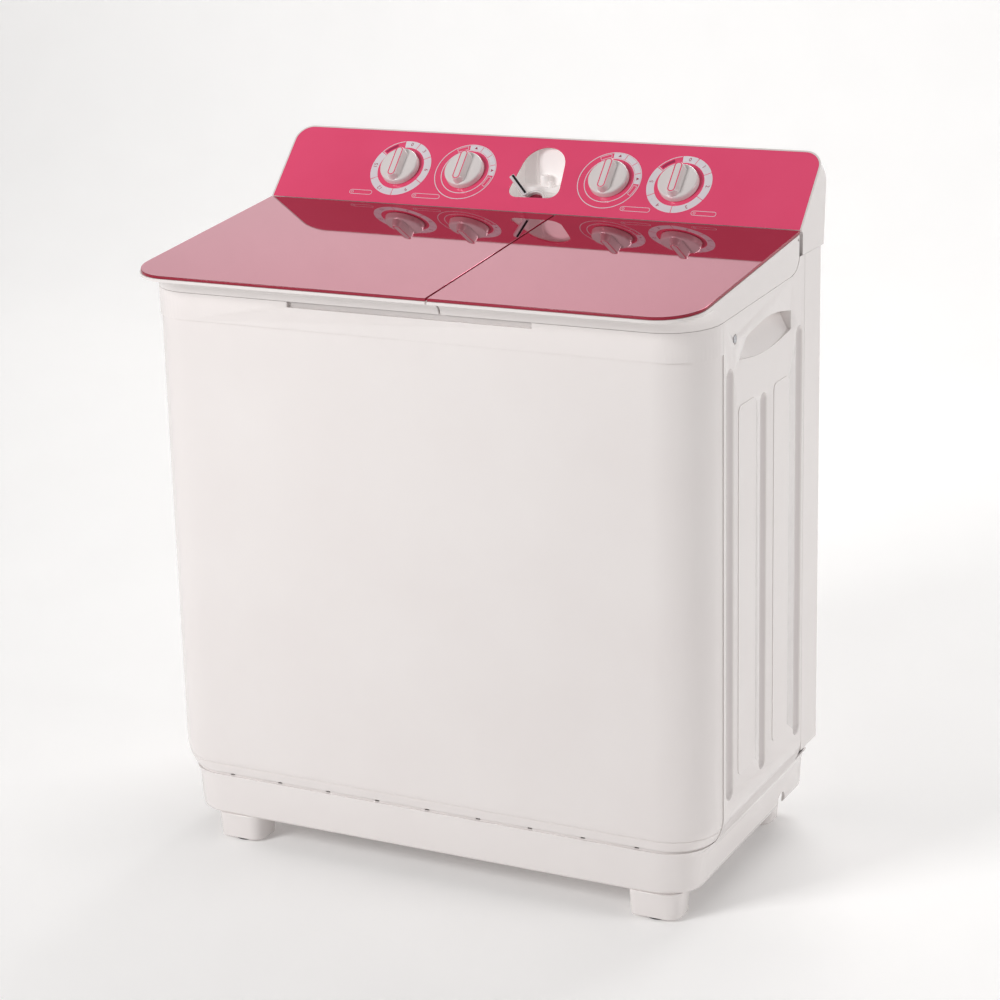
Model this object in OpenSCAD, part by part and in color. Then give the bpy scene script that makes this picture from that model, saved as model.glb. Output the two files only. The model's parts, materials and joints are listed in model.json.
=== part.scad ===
// Twin tub washer: a wash tub with a pulsator on the left and a spin basket on the right,
// under two hinged glass lids, with a sloping control panel at the back.
// X runs to the right, Y to the back and Z up. The origin is on the floor, under the middle.

/* [Cabinet] */
// Half width of the cabinet over its side panels
half_w = 421.5; // [419:0.5:424]
// Y of the front panel's outer face
front_y = -210; // [-212:0.5:-208]
// Y of the rear cover's outer face
rear_y = 236; // [234:0.5:238]
// Radius of the two front corners seen from above
corner_r = 70; // [62:1:74]
// Thickness of the moulded walls
wall = 3; // [2.5:0.1:3.5]
// Height of the joint between front panel and top frame
frame_z = 781; // [776:1:786]
// Height of the plinth's upper edge
plinth_top = 102; // [100:0.5:104]
// Height of the plinth's lower edge over the floor
plinth_low = 41; // [38:1:44]

/* [Lids] */
// X of the seam between the wash lid and the spin lid
seam_x = 51; // [50.5:0.5:51.5]
// How far the lids' front edge stands in front of the front panel
lid_reach = 39; // [34:0.5:40]
// Thickness of the glass
glass_t = 4; // [3.5:0.1:4]
// Height of the glass at its front edge
glass_front_z = 849; // [848:0.5:850]
// Y of the lid hinge axis
hinge_y = 135.5; // [135:0.5:136]
// Height of the lid hinge axis
hinge_z = 880; // [879.5:0.5:880.5]

/* [Panel] */
// Slope of the control panel from horizontal, in degrees
slope = 45.5; // [45:0.5:46]
// Length of the fascia up the slope
panel_len = 129; // [127:0.5:130]
// Distance of the knob centres up the slope
dial_t = 63; // [61:0.5:65]
// X of the outer knobs, which are the timers
timer_x = 223; // [220:1:226]
// X of the inner knobs, which are the selectors
selector_x = 115.5; // [114:0.5:117]

/* [Wash side] */
// Middle of the wash tub in X
wash_x = -185; // [-187:1:-183]
// Radius of the pulsator
pulsator_r = 145; // [138:1:146]
// Outer radius of the big pulley
pulley_r = 90; // [86:1:92]
// Outer radius of the motor pulley
motor_pulley_r = 28; // [26:1:29]

/* [Spin side] */
// Middle of the spin basket in X
spin_x = 236; // [235:0.5:237]
// Outer radius of the spin basket
basket_r = 138; // [132:1:139]
// Outer radius of the spin outer tub
spin_tub_r = 160; // [158:0.5:161]
// Y of both tubs' shafts
shaft_y = -35; // [-36:0.5:-34]

/* [Hidden] */

white = [0.95, 0.93, 0.93];
steel = [0.75, 0.76, 0.78];
rubber = [0.12, 0.12, 0.13];

$fn = 48;
eps = 0.01;
big = 1200;

// The deck under the lids rises gently to the back, and the glass rises a little more
deck_slope = 2.58;
deck_z0 = 829;
glass_slope = atan((891.3 - glass_front_z) / (147.5 - glass_front_y()));
function glass_front_y() = front_y - lid_reach + 1.4;
function deck_at(y) = deck_z0 + y * tan(deck_slope);
function glass_at(y) = glass_front_z + (y - glass_front_y()) * tan(glass_slope);

// The walls curl inward towards the plinth, further at the sides than at the front
curl_z = 140;
curl_k = 0.0089;
side_curl = 19.7;
front_curl = 8.5;
shoulder_z = 93;
function curl(z) = z > curl_z ? 0 : curl_k * pow(curl_z - z, 2);
function side_in(z) = min(curl(z), side_curl) + max(0, shoulder_z - z) * 0.06;
function front_in(z) = min(curl(z), front_curl) + max(0, shoulder_z - z) * 0.03;

// ---------------------------------------------------------------- outlines and lofts

function arc(cx, cy, r, from, to, n = 8) =
    [for (i = [0:n]) let (a = from + (to - from) * i / n) [cx + r * cos(a), cy + r * sin(a)]];

// Closed outline of the cabinet, counter-clockwise from the front right corner
function outline(a, y0, y1, rf, rr) = concat(
    arc(a - rf, y0 + rf, rf, -90, 0), arc(a - rr, y1 - rr, rr, 0, 90, 4),
    arc(-a + rr, y1 - rr, rr, 90, 180, 4), arc(-a + rf, y0 + rf, rf, 180, 270));

function lift(points, z) = [for (p = points) [p[0], p[1], z]];

// Outline of the walls at height z, drawn in by inset
function body_at(z, inset = 0) = lift(outline(half_w - 1.5 - side_in(z) - inset, front_y + front_in(z) + inset,
    rear_y - 2 - inset, corner_r - side_in(z) * 0.65 - inset, 12 - inset), z);

// Open strip that wraps the front, from one side's seam round to the other's
seam_y = -138;
function front_strip(z, inset) = let (a = half_w - 1.5 - side_in(z) - inset, y0 = front_y + front_in(z) + inset,
    r = corner_r - side_in(z) * 0.65 - inset)
    concat([[-a, seam_y]], arc(-a + r, y0 + r, r, 180, 270), arc(a - r, y0 + r, r, -90, 0), [[a, seam_y]]);
function reversed(v) = [for (i = [len(v) - 1:-1:0]) v[i]];
function strip_at(z, outer, inner) = lift(concat(front_strip(z, outer), reversed(front_strip(z, inner))), z);

// Solid through a stack of rings with equal numbers of points; a loop joins the last ring to the first
// and the ends of a strip, which folds back along its inner face, are closed with quads
module skin(rings, loop = false, strip = false) {
    n = len(rings[0]);
    m = len(rings);
    sides = [for (i = [0:m - (loop ? 1 : 2)]) for (j = [0:n - 1])
        let (k = (i + 1) % m, l = (j + 1) % n) each [[i * n + j, k * n + l, i * n + l], [i * n + j, k * n + j, k * n + l]]];
    top = (m - 1) * n;
    quads = [for (j = [0:n / 2 - 2]) each [[j, j + 1, n - 2 - j, n - 1 - j],
        [top + n - 1 - j, top + n - 2 - j, top + j + 1, top + j]]];
    caps = loop ? [] : strip ? quads : [[for (j = [0:n - 1]) j], [for (j = [n - 1:-1:0]) top + j]];
    polyhedron(points = [for (ring = rings) each ring], faces = concat(sides, caps));
}

// Rounded rectangle between two corners
module slab_outline(x0, x1, y0, y1, r) {
    translate([x0 + r, y0]) square([x1 - x0 - 2 * r, y1 - y0]);
    translate([x0, y0 + r]) square([x1 - x0, y1 - y0 - 2 * r]);
    for (x = [x0 + r, x1 - r]) for (y = [y0 + r, y1 - r]) translate([x, y]) circle(r);
}

// Everything above the deck plane raised by dz
module above_deck(dz = 0) {
    translate([0, 0, deck_z0 + dz]) rotate([deck_slope, 0, 0]) translate([-big, -big, 0]) cube([2 * big, 2 * big, big]);
}

// Everything between two planes parallel to the deck
module deck_layer(low, high) {
    translate([0, 0, deck_z0 + low]) rotate([deck_slope, 0, 0]) translate([-big, -big, 0])
        cube([2 * big, 2 * big, high - low]);
}

// Frame of the control panel: X stays, Y runs up the slope, Z stands out of the face
foot_y = 147.5;
foot_z = 891.3;
module on_panel() {
    translate([0, foot_y, foot_z]) rotate([slope, 0, 0]) children();
}

// Profile in Y and Z, extruded along X between two places
module along_x(x0, x1) {
    translate([x0, 0, 0]) rotate([90, 0, 90]) linear_extrude(x1 - x0) children();
}

// Bar between two points with round section
module rod(a, b, r) {
    d = b - a;
    translate(a) rotate([0, atan2(norm([d[0], d[1]]), d[2]), atan2(d[1], d[0])]) cylinder(r = r, h = norm(d));
}

module tube(r_out, r_in, z0, z1) {
    translate([0, 0, z0]) difference() {
        cylinder(r = r_out, h = z1 - z0);
        translate([0, 0, -1]) cylinder(r = r_in, h = z1 - z0 + 2);
    }
}

module at_wash() { translate([wash_x, shaft_y, 0]) children(); }
module at_spin() { translate([spin_x, shaft_y, 0]) children(); }

// ---------------------------------------------------------------- plinth and feet

floor_low = 66;
floor_top = 70;
notch_y = [130, 162];
clip_pitch = 80;

module plinth() color(white) {
    difference() {
        skin([body_at(plinth_low, 3.5), body_at(plinth_low + 3, 0.8), body_at(plinth_low + 8), body_at(shoulder_z),
            body_at(96), body_at(99), body_at(plinth_top), body_at(plinth_top, wall), body_at(floor_top, wall),
            body_at(plinth_low, wall + 2.5)], loop = true);
        translate([half_w - 60, (notch_y[0] + notch_y[1]) / 2, 0]) {
            translate([0, -16, 30]) cube([60, 32, 16]);
            translate([0, 0, 46]) rotate([0, 90, 0]) cylinder(r = 16, h = 60);
        }
    }
    difference() {
        translate([0, 0, floor_low]) linear_extrude(floor_top - floor_low)
            polygon([for (p = body_at(floor_top, wall - 1)) [p[0], p[1]]]);
        for (i = [0:5]) for (x = [wash_x - 120, spin_x - 120])
            translate([x + i * 44, -90, floor_low - 1]) cube([14, 90, 6]);
        translate([drain_x, drain_y, floor_low - 1]) cylinder(r = 22, h = 6);
    }
    translate([0, 0, plinth_top - 2]) linear_extrude(36) difference() {
        polygon([for (p = body_at(shoulder_z, 0.6)) [p[0], p[1]]]);
        polygon([for (p = body_at(shoulder_z, wall)) [p[0], p[1]]]);
        translate([-half_w, front_y]) square([2 * half_w, side_rear + 1 - front_y]);
    }
    for (x = [bracket_x[0] + 14, bracket_x[1] - 14]) for (y = [bracket_y[0] + 14, bracket_y[1] - 14])
        translate([x, y, floor_top - 1]) cylinder(r = 13, h = 17);
    at_spin() for (a = [30:120:270]) rotate(a) translate([spring_ring, 0, floor_top - 1]) cylinder(r = 9, h = 9);
    // Upstand behind the joint with the front panel, slotted for the panel's clips
    difference() {
        translate([0, 0, plinth_top - 4]) linear_extrude(15) intersection() {
            difference() {
                polygon([for (p = body_at(plinth_top, 2.85)) [p[0], p[1]]]);
                polygon([for (p = body_at(plinth_top, 5.4)) [p[0], p[1]]]);
            }
            translate([-half_w, front_y]) square([2 * half_w, seam_y + 40 - front_y]);
        }
        for (i = [-4:4]) translate([i * clip_pitch - 3.5, front_y, plinth_top + 0.8]) cube([7, 30, 3]);
    }
}

// Feet as footprints in X and Y, each drawn in a little towards the floor
foot_x = [[-350, -278], [305, 380]];
foot_rows = [[-199, -150], [145, 192]];
pad_t = 3;
function foot_ring(x, y, z, inset) = lift(concat(
    arc(x[1] - 22, y[0] + 22, 22 - inset, -90, 0, 5), arc(x[1] - 8, y[1] - 8, 8 - inset, 0, 90, 2),
    arc(x[0] + 8, y[1] - 8, 8 - inset, 90, 180, 2), arc(x[0] + 10, y[0] + 10, 10 - inset, 180, 270, 3)), z);

module feet() color(white)
    for (x = foot_x) for (y = foot_rows) {
        skin([foot_ring(x, y, pad_t, 4), foot_ring(x, y, pad_t + 2, 2.5), foot_ring(x, y, plinth_low, 0)]);
        translate([x[0] + 14, y[0] + 14, plinth_low - 1]) cube([x[1] - x[0] - 28, y[1] - y[0] - 28, floor_low - plinth_low + 1]);
    }

module foot_pads() color(rubber)
    for (x = foot_x) for (y = foot_rows)
        translate([(x[0] + x[1]) / 2, (y[0] + y[1]) / 2, 0]) cylinder(r = 18, h = pad_t);

// ---------------------------------------------------------------- cabinet walls

panel_low = plinth_top + 4.5;
line_z = 122;
module front_panel() color(white)
    skin([for (s = [[panel_low, 0], [114, 0], [line_z - 0.9, 0], [line_z - 0.5, 0.9], [line_z + 0.5, 0.9], [line_z + 0.9, 0],
        [128, 0], [134, 0], [curl_z, 0], [frame_z - 0.4, 0]]) strip_at(s[0], s[1], 2.6)], strip = true);

// Side panel, drawn for the right side: upper edge steps up to the control housing
side_rear = 162;
housing_z = 856;
grooves = [[-116.5, 12.5, 759], [4.5, 11.5, 699], [141, 12.5, 762]];
groove_low = 156;
pads = [[-87, -25], [43, 101]];
groove_depth = 8;

function side_top() = [[seam_y + 0.3, deck_at(seam_y)], [115, deck_at(115)], [124, 836.4], [131, 840.2], [137, 846],
    [140, 851], [141.5, housing_z - 0.3], [side_rear - 0.3, housing_z - 0.3]];
module side_shape() polygon(concat([[side_rear - 0.3, curl_z], [seam_y + 0.3, curl_z]], side_top()));

// Round-ended groove cutter, standing on the wall's face
module groove(g, grow) {
    r = g[1] + 2;
    translate([half_w + r - groove_depth + 0.02, g[0], 0]) {
        translate([0, 0, groove_low + r]) cylinder(r = r + grow, h = g[2] - groove_low - 2 * r);
        for (z = [groove_low + r, g[2] - r]) translate([0, 0, z]) sphere(r + grow);
    }
}

// Carry handle: a lens-shaped mouth whose back slopes away inward and up
handle_y = [-84, 108];
function handle_mouth(grow) = concat(
    [for (i = [0:10]) let (u = i / 10) [handle_y[0] - grow + u * (192 + 2 * grow), 762 - grow - 9 * sin(180 * u)]],
    [for (i = [0:10]) let (u = i / 10) [108 + grow - u * (166 + 2 * grow), 788 + grow + 10 * sin(180 * u)]]);
module handle_hollow(grow) {
    intersection() {
        along_x(half_w - 20 - grow, half_w + 1) polygon(handle_mouth(grow));
        translate([half_w, 0, 752 - grow * 2.2]) rotate([0, -27, 0]) translate([0, -200, -40]) cube([60, 400, 140]);
    }
}

module side_panel() {
    difference() {
        union() {
            along_x(half_w - wall, half_w) side_shape();
            intersection() {
                union() {
                    for (g = grooves) groove(g, wall);
                    handle_hollow(wall);
                }
                along_x(half_w - 45, half_w - wall + 0.5) side_shape();
            }
            for (p = pads) along_x(half_w - 1, half_w + 0.9) slab_outline(p[0], p[1], 181, 700, 10);
        }
        for (g = grooves) groove(g, 0);
        handle_hollow(0);
        translate([half_w - 6, -99, 793]) rotate([0, 90, 0]) cylinder(r = 3.2, h = 8);
        translate([half_w - 1.6, -99, 793]) rotate([0, 90, 0]) cylinder(r = 7, h = 8);
    }
    // Lower edge, which curls inward to the plinth
    skin([for (z = [plinth_top + 0.2, 112, 121, 130, curl_z]) let (x = half_w - side_in(z))
        [[x - wall, seam_y + 0.3, z], [x, seam_y + 0.3, z], [x, side_rear - 0.3, z], [x - wall, side_rear - 0.3, z]]]);
}
module side_panel_right() color(white) side_panel();
module side_panel_left() color(white) mirror([1, 0, 0]) side_panel();

// Rear cover wraps both rear corners; louvres let the motors breathe
cover_low = 125;
module cover_outline(inset) {
    difference() {
        slab_outline(-half_w + inset, half_w - inset, 0, rear_y - inset, 12 - inset);
        translate([-half_w, -1]) square([2 * half_w, side_rear + 1.3]);
    }
}
module rear_cover() color(white)
    difference() {
        translate([0, 0, cover_low]) linear_extrude(housing_z - 0.3 - cover_low) cover_outline(0);
        translate([0, 0, cover_low - 1]) linear_extrude(housing_z + 2 - cover_low) difference() {
            cover_outline(2.2);
            translate([-half_w, 0]) square([2 * half_w, side_rear]);
        }
        for (x = [-wash_vent, wash_vent]) for (i = [0:5])
            translate([x - 70, rear_y - 10, 200 + i * 18]) cube([140, 20, 6]);
        for (x = [-380, 0, 380]) for (z = [150, 820])
            translate([x, rear_y + 1, z]) rotate([90, 0, 0]) cylinder(r = 2.2, h = 8);
        translate([-300, rear_y + 1, 170]) rotate([90, 0, 0]) cylinder(r = 7.1, h = 8);
    }
wash_vent = 220;

// ---------------------------------------------------------------- top frame and tubs

wash_open = [-398, 28, -192, 121];
deck_t = 3;
lip_w = 6;

module front_band(inset) {
    intersection() {
        slab_outline(-half_w + inset, half_w - inset, front_y - 1.5 + inset, rear_y - 4, corner_r);
        translate([-half_w, front_y - 2]) square([2 * half_w, seam_y - front_y + 2]);
    }
}
module deck_outline(inset) {
    front_band(inset);
    translate([-half_w + wall + 0.1 + inset, seam_y - 1]) square([2 * (half_w - wall - 0.1 - inset), side_rear - seam_y]);
    translate([-half_w + 8 + inset, side_rear - 2]) square([2 * (half_w - 8 - inset), rear_y - 8 - inset - side_rear]);
}

// Lugs that carry the lid hinge pins, as X ranges
lugs = [[-414, -407.5], [45, 57], [407.5, 414]];
lug_r = 5.2;
module hinge_lug(x) {
    difference() {
        along_x(x[0], x[1]) {
            polygon([[hinge_y - lug_r, 832], [hinge_y + lug_r, 832], [hinge_y + lug_r, hinge_z], [hinge_y - lug_r, hinge_z]]);
            translate([hinge_y, hinge_z]) circle(lug_r);
        }
        translate([x[0] - 1, hinge_y, hinge_z]) rotate([0, 90, 0]) cylinder(r = pin_r, h = x[1] - x[0] + 2);
    }
}

safety_y = 113.5;
safety_lugs = [[118, 124], [348, 354]];
safety_pin_z = deck_at(safety_y) + 9;
finger_x = [-183, 185];

module top_frame() color(white) {
    difference() {
        translate([0, 0, frame_z]) linear_extrude(110) deck_outline(0);
        above_deck(0);
        difference() {
            translate([0, 0, frame_z - 1]) linear_extrude(100) deck_outline(wall);
            above_deck(-deck_t);
        }
        translate([0, 0, 700]) linear_extrude(300)
            slab_outline(wash_open[0], wash_open[1], wash_open[2], wash_open[3], 50);
        at_spin() translate([0, 0, 700]) cylinder(r = spin_tub_r - 6, h = 300, $fn = 96);
        translate([finger_x[0], front_y - 10, deck_at(front_y) - 8]) cube([finger_x[1] - finger_x[0], 8.5 + 6, 20]);
        translate([-70, 150, 780]) cube([230, 70, 80]);
        for (s = [-1, 1]) {
            translate([s * half_w - 12, handle_y[0] - 8, 700]) cube([24, handle_y[1] - handle_y[0] + 16, 106]);
            translate([s * half_w, -99, 793]) rotate([0, s * -90, 0]) cylinder(r = 2.05, h = 12);
        }
    }
    // Back wall of the finger groove
    difference() {
        translate([finger_x[0] - 2, front_y + wall - 1.6, 800]) cube([finger_x[1] - finger_x[0] + 4, 6.6, 40]);
        above_deck(0);
        translate([finger_x[0], front_y - 10, deck_at(front_y) - 8]) cube([finger_x[1] - finger_x[0], 8.5 + 6, 20]);
    }
    for (x = lugs) hinge_lug(x);
    for (x = safety_lugs) difference() {
        along_x(x[0], x[1]) {
            polygon([[safety_y - 4, 832], [safety_y + 4, 832], [safety_y + 4, safety_pin_z], [safety_y - 4, safety_pin_z]]);
            translate([safety_y, safety_pin_z]) circle(4);
        }
        translate([x[0] - 1, safety_y, safety_pin_z]) rotate([0, 90, 0]) cylinder(r = pin_r, h = 8);
    }
}

tub_floor = 385;
dish_z = 374;
module wash_tub_shape(grow) {
    slab_outline(wash_open[0] - grow, wash_open[1] + grow, wash_open[2] - grow, wash_open[3] + grow, 50 + grow);
}
drain_port = [-20, 92];
module wash_tub() color(white)
    difference() {
        union() {
            translate([0, 0, tub_floor - wall]) linear_extrude(500) wash_tub_shape(-0.2);
            at_wash() translate([0, 0, dish_z - wall]) cylinder(r = pulsator_r + 10, h = 12, $fn = 96);
            intersection() {
                translate([0, 0, 700]) linear_extrude(200) wash_tub_shape(lip_w);
                deck_layer(0, 3);
            }
        }
        above_deck(3);
        translate([0, 0, tub_floor]) linear_extrude(500) wash_tub_shape(-wall);
        at_wash() translate([0, 0, dish_z]) cylinder(r = pulsator_r + 6, h = 40, $fn = 96);
        at_wash() translate([0, 0, dish_z - 10]) cylinder(r = 20, h = 20);
        translate([drain_port[0], drain_port[1], tub_floor - 20]) cylinder(r = 12, h = 30);
    }

spin_floor = 402;
module spin_tub() color(white)
    difference() {
        union() {
            at_spin() translate([0, 0, spin_floor - wall]) cylinder(r = spin_tub_r - 6.2, h = 500, $fn = 96);
            intersection() {
                at_spin() translate([0, 0, 700]) cylinder(r = spin_tub_r + 2, h = 300, $fn = 96);
                deck_layer(0, 3);
            }
        }
        above_deck(3);
        at_spin() translate([0, 0, spin_floor]) cylinder(r = spin_tub_r - 6.2 - wall, h = 600, $fn = 96);
        at_spin() translate([0, 0, spin_floor - 10]) cylinder(r = 34, h = 30);
        translate([spin_port[0], spin_port[1], spin_floor - 10]) cylinder(r = 9, h = 30);
    }

// ---------------------------------------------------------------- control housing and fascia

fascia_t = 2.5;
rim = 2.5;
fascia_half = half_w - rim;
plate_back = fascia_t + wall;
swing_gap = 14.6;

module fascia_outline(grow) {
    w = fascia_half + grow;
    r = 25 + grow;
    square_low = 12;
    translate([-w, 0]) square([2 * w, panel_len + grow - r]);
    translate([-w + r, square_low]) square([2 * (w - r), panel_len + grow - square_low]);
    for (x = [-w + r, w - r]) translate([x, panel_len + grow - r]) circle(r);
}

// Egg-shaped window, from three arcs
function window_points(grow) = concat(arc(27.5, 42, 16 + grow, -90, 6, 6), arc(5, 80.5, 34 + grow, 6, 170, 14),
    arc(-21, 40, 15 + grow, 170, 270, 6));

module hinge_sweep(r) {
    translate([-big, hinge_y, hinge_z]) rotate([0, 90, 0]) cylinder(r = r, h = 2 * big);
}

wall_y = 153.2;
top_y = 239.6;
top_z = 985.1;
back_top = 249.5;
module housing_side(d) polygon([[wall_y + d, 836], [wall_y + d, 886], [wall_y + d - 4, 889.6], [foot_y + d * 1.42, foot_z],
    [top_y, top_z - d], [246, top_z - d], [back_top - d, top_z - 4], [rear_y - d + 1.5, housing_z], [rear_y - d - 3, 838]]);

module housing_solid(d) {
    intersection() {
        union() {
            along_x(-half_w + d, half_w - d) intersection() {
                housing_side(d);
                translate([0, housing_z + d]) square([400, 200]);
            }
            along_x(-half_w + 13 + d, half_w - 13 - d) intersection() {
                housing_side(d);
                translate([0, 800]) square([rear_y - 2.6 - d, 200]);
            }
        }
        union() {
            on_panel() translate([0, 0, -200]) linear_extrude(220) fascia_outline(rim - d);
            translate([-big, 0, 700]) cube([2 * big, big, foot_z + 20 - 700]);
        }
    }
}

chamber_x = [-42, 56];
pocket = [2, 40, 866, 904];
dials = [-timer_x, -selector_x, selector_x, timer_x];

module control_housing() color(white)
    difference() {
        housing_solid(0);
        difference() {
            housing_solid(wall);
            on_panel() translate([-big, -50, -plate_back]) cube([2 * big, 400, 200]);
            translate([pocket[0] - wall, 216, pocket[2] - wall])
                cube([pocket[1] - pocket[0] + 2 * wall, 60, pocket[3] - pocket[2] + 2 * wall]);
        }
        translate([-half_w + 10, wall_y + wall, 820]) cube([2 * half_w - 20, rear_y - wall_y - 10, 20]);
        translate([0, 0, deck_z0]) rotate([deck_slope, 0, 0]) translate([-big, -big, -big]) cube([2 * big, 2 * big, big]);
        on_panel() translate([0, 0, -fascia_t]) linear_extrude(20) fascia_outline(0);
        on_panel() translate([0, 0, -plate_back - 1]) linear_extrude(20) polygon(window_points(2));
        for (x = dials) on_panel() translate([x, dial_t, -20]) cylinder(r = 7, h = 30);
        translate([pocket[0], 216 + wall, pocket[2]]) cube([pocket[1] - pocket[0], 60, pocket[3] - pocket[2]]);
        translate([nipple_x, 200, nipple_z]) rotate([-90, 0, 0]) cylinder(r = 10.6, h = 40);
        hinge_sweep(swing_gap);
    }

module fascia() color([0.89, 0.25, 0.42])
    difference() {
        on_panel() translate([0, 0, -fascia_t]) linear_extrude(fascia_t) difference() {
            fascia_outline(0);
            polygon(window_points(0));
            for (x = dials) translate([x, dial_t]) circle(6);
        }
        hinge_sweep(swing_gap);
    }

// Chamber behind the window, where the water drops into the chute to either tub
module chamber_profile(d) polygon([[156.6 + d, 866 + d], [213 - d, 866 + d], [213 - d, 907 + d], [238 - d, 907 + d],
    [238 - d, 990], [156.6 + d, 990]]);
module inlet_chamber() color(white) {
    // Arm that carries the diverter
    on_panel() translate([chamber_x[0] + 1, hub_at[1] - 6, hub_low - 16]) cube([hub_at[0] + 3 - chamber_x[0], 12, 5.9]);
    difference() {
        along_x(chamber_x[0], chamber_x[1]) chamber_profile(0);
        along_x(chamber_x[0] + 2.5, chamber_x[1] - 2.5) chamber_profile(2.5);
        on_panel() translate([-big, -100, -plate_back - eps]) cube([2 * big, 500, 200]);
        translate([nipple_x, 200, nipple_z]) rotate([-90, 0, 0]) cylinder(r = 10.6, h = 40);
        for (x = [chamber_x[0] + 16, chamber_x[1] - 16]) translate([x, 175, 850]) cylinder(r = 9, h = 40);
    }
}

// Inlet pipe: threaded nipple in the rear pocket, ending in an upright cap inside the chamber
nipple_x = 21;
nipple_z = 885;
module inlet_pipe() color(white)
    difference() {
        union() {
            translate([nipple_x, 205, nipple_z]) rotate([-90, 0, 0]) cylinder(r = 10.5, h = 16);
            translate([nipple_x, 205, nipple_z]) rotate([-90, 0, 0]) cylinder(r = 10, h = 42);
            translate([nipple_x, 199, 870]) cylinder(r = 11, h = 34);
        }
        translate([nipple_x, 200, nipple_z]) rotate([-90, 0, 0]) cylinder(r = 7.5, h = 60);
        translate([nipple_x, 199, 873]) cylinder(r = 8, h = 26);
        translate([nipple_x - 8, 180, 868.4]) cube([16, 20, 14]);
    }

// ---------------------------------------------------------------- lids

pin_r = 2;
lid_split = 1.5;
skirt_rear = 126.5;

// Plan outline of a lid: side -1 has its round corner at the front left, +1 at the front right
function lid_plan(side, x_in, x_out, y0, y1, r) = side > 0
    ? concat(arc(x_out - r, y0 + r, r, -90, 0), [[x_out, y1], [x_in, y1], [x_in, y0]])
    : concat([[x_in, y0], [x_in, y1], [x_out, y1]], arc(x_out + r, y0 + r, r, 180, 270));
function flare(u) = 1 - sqrt(1 - u * u);

// Ring of a lid's skirt at height share u, between the deck and the bead under the glass
bead = 4;
function lid_plan_at(side, u, d) = lid_plan(side, seam_x + side * (lid_split + d), side * (half_w - d),
    front_y - 1.5 + d - (lid_reach - 1.5) * flare(u), skirt_rear - d, corner_r - 10 * flare(u) - d);
function lid_ring(side, u, d) = [for (p = lid_plan_at(side, u, d))
    [p[0], p[1], (deck_at(p[1]) + 0.6) * (1 - u) + (glass_at(p[1]) - glass_t - bead) * u]];
glass_drop = glass_t / cos(glass_slope) + 0.02;
function lid_flat(side, u, d, below) = [for (p = lid_plan_at(side, u, d)) [p[0], p[1], glass_at(p[1]) - below]];

module lid_frame(side) {
    inner_x = side > 0 ? 59 : 43;
    difference() {
        union() {
            skin(concat(
                [lid_flat(side, 0.8, wall, glass_drop + 3.4)],
                [for (u = [0.78, 0.55, 0.3, 0]) lid_ring(side, u, wall)],
                [for (u = [0, 0.3, 0.55, 0.75, 0.88, 0.96, 1]) lid_ring(side, u, 0)],
                [lid_flat(side, 1, 0, glass_drop)]));
            // Rear ledge under the glass, with the hinge barrel
            intersection() {
                translate([0, hinge_y, glass_at(hinge_y)]) rotate([glass_slope, 0, 0]) translate([0, 0, -glass_t - 3])
                    linear_extrude(2.98) lid_rear_strip(side);
                translate([-big, 0, 0]) cube([2 * big, 144.5, big]);
            }
            translate([min(inner_x, side * 406.5), hinge_y, hinge_z]) rotate([0, 90, 0])
                cylinder(r = 5, h = abs(side * 406.5 - inner_x));
            // Rear end of the outer skirt
            along_x(side > 0 ? half_w - wall : -half_w, side > 0 ? half_w : -half_w + wall)
                polygon([[112, deck_at(112) + 0.6], [138.5, deck_at(112)], [139.5, 866],
                    [139.5, glass_at(139.5) - glass_drop], [112, glass_at(112) - glass_drop]]);
        }
        // Room for the rise of the side panels
        along_x(-half_w - 1, half_w + 1) polygon([[100, 828], [110, 834.9], [123, 837.2], [129.5, 841], [135.5, 847],
            [138.7, 853], [150, 853], [150, 830]]);
        along_x(-half_w + wall + 0.1, half_w - wall - 0.1) polygon([[100, 828], [105.5, 834.9], [116, 838], [121, 849],
            [134.2, 853], [150, 853], [150, 830]]);
        for (x = [inner_x, side * 406.5]) translate([x - 18, hinge_y, hinge_z]) rotate([0, 90, 0])
            cylinder(r = pin_r + 0.05, h = 36);
    }
}
module lid_rear_strip(side) {
    x = side > 0 ? [59, 406.5] : [-406.5, 43];
    translate([x[0], -16]) square([x[1] - x[0], 30]);
}

module lid_glass(side) {
    x_in = seam_x + side * lid_split;
    x_out = side * (half_w - 1);
    r = 60;
    intersection() {
        linear_extrude(1000) {
            translate([min(x_in, x_out - side * r), glass_front_y()]) square([abs(x_out - side * r - x_in), 144.5 - glass_front_y()]);
            translate([min(x_in, x_out), glass_front_y() + r]) square([abs(x_out - x_in), 144.5 - glass_front_y() - r]);
            translate([x_out - side * r, glass_front_y() + r]) circle(r);
        }
        translate([0, glass_front_y(), glass_front_z]) rotate([glass_slope, 0, 0]) translate([-big, -big, -glass_t])
            cube([2 * big, 2 * big, glass_t]);
    }
}

module wash_lid_frame() color(white) lid_frame(-1);
module spin_lid_frame() color(white) lid_frame(1);
module wash_lid_glass() color([0.72, 0.3, 0.38]) lid_glass(-1);
module spin_lid_glass() color([0.72, 0.3, 0.38]) lid_glass(1);

module hinge_pins() color(steel) {
    for (x = [[-414, -393], [31, 71], [393, 414]])
        translate([x[0], hinge_y, hinge_z]) rotate([0, 90, 0]) cylinder(r = pin_r, h = x[1] - x[0]);
    for (x = safety_lugs)
        translate([x[0] - 12, safety_y, safety_pin_z]) rotate([0, 90, 0]) cylinder(r = pin_r, h = 30);
}

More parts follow.
